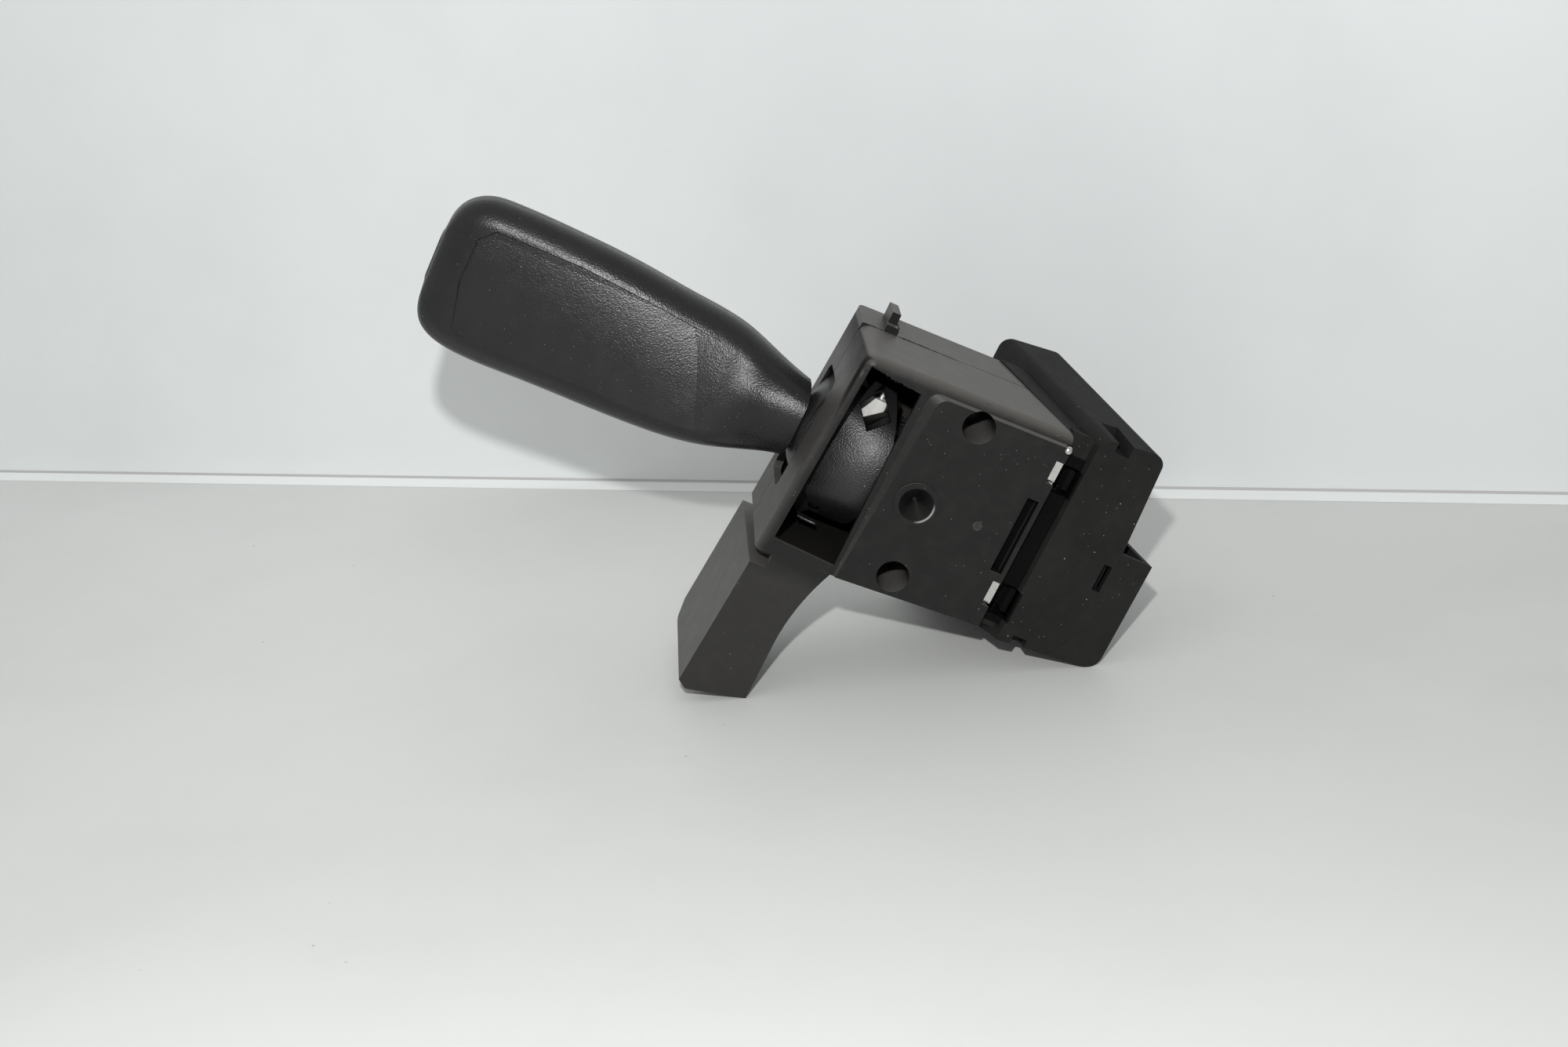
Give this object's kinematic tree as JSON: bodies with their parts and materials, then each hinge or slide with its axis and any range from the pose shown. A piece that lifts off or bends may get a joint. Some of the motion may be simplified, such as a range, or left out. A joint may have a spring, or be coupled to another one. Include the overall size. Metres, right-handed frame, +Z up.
{
  "type": "combination stalk switch",
  "caption": "Steering-column combination stalk switch: a flat paddle lever on a swinging carrier, a two-part housing with a mounting wing and a side connector block.",
  "frame": {"origin": "centre of the upper fixing well in the plane of the raised front plate", "axes": "+Y into the switch, away from the front plate and along the fixing screws; +Z up as the switch stands on its wing tip and base block; X completes the frame, with the lever towards -X"},
  "size_m": [0.1859, 0.0626, 0.1335],
  "materials": {
    "housing_plastic": "satin",
    "base_plastic": "satin",
    "carrier_plastic": "satin",
    "handle_plastic": "grained",
    "white_plastic": "semi-gloss",
    "steel": "zinc plated",
    "spring_steel": "satin",
    "contact_metal": "tinned",
    "board": "laminate"
  },
  "bodies": {
    "housing": {"housing_front": "housing_plastic", "housing_rear": "housing_plastic", "fixing_sleeves": "steel", "base_block": "base_plastic", "base_cover": "base_plastic", "retaining_strip": "spring_steel", "connector_board": "board", "connector_blades": "contact_metal", "detent_track": "white_plastic", "contact_board": "board", "fixed_contacts": "contact_metal", "pull_contact_pin": "contact_metal"},
    "carrier": {"carrier": "carrier_plastic", "dust_shield": "carrier_plastic", "pull_pin": "steel", "return_spring": "spring_steel", "detent_spring": "spring_steel"},
    "plunger": {"detent_plunger": "white_plastic"},
    "lever": {"lever_core": "white_plastic", "handle_front_shell": "handle_plastic", "handle_rear_shell": "handle_plastic"},
    "swing_contact": {"swing_slider": "white_plastic", "swing_contact_bridge": "contact_metal"},
    "pull_contact": {"pull_slider": "white_plastic", "pull_contact_sleeve": "contact_metal"}
  },
  "joints": [
    {"name": "lever_swing", "type": "hinge", "parent": "housing", "child": "carrier", "pos_m": [-0.01725, 0.028, -0.01881], "axis": [0, 1, 0], "range_deg": [-8, 8]},
    {"name": "lever_pull", "type": "hinge", "parent": "carrier", "child": "lever", "pos_m": [-0.02974, 0.028, -0.01165], "axis": [-0.4975, 0, -0.8675], "range_deg": [0, 6], "stiffness_Nm_per_rad": 0.35, "springref_deg": -17.19},
    {"name": "detent_slide", "type": "slide", "parent": "carrier", "child": "plunger", "axis": [0, -1, 0], "range_m": [0, 0.0005], "stiffness_N_per_m": 300, "springref_m": 0.004, "deforming": ["detent_spring"]},
    {"name": "swing_contact_slide", "type": "slide", "parent": "housing", "child": "swing_contact", "axis": [0.8675, 0, -0.4975], "range_m": [-0.00214, 0.00214]},
    {"name": "pull_contact_slide", "type": "slide", "parent": "carrier", "child": "pull_contact", "axis": [0, -1, 0], "range_m": [0, 0.00154], "deforming": ["return_spring"]}
  ],
  "couplings": [
    {"joint": "swing_contact_slide", "follows": "lever_swing", "m_per_rad": 0.015},
    {"joint": "pull_contact_slide", "follows": "lever_pull", "m_per_rad": 0.0144}
  ]
}
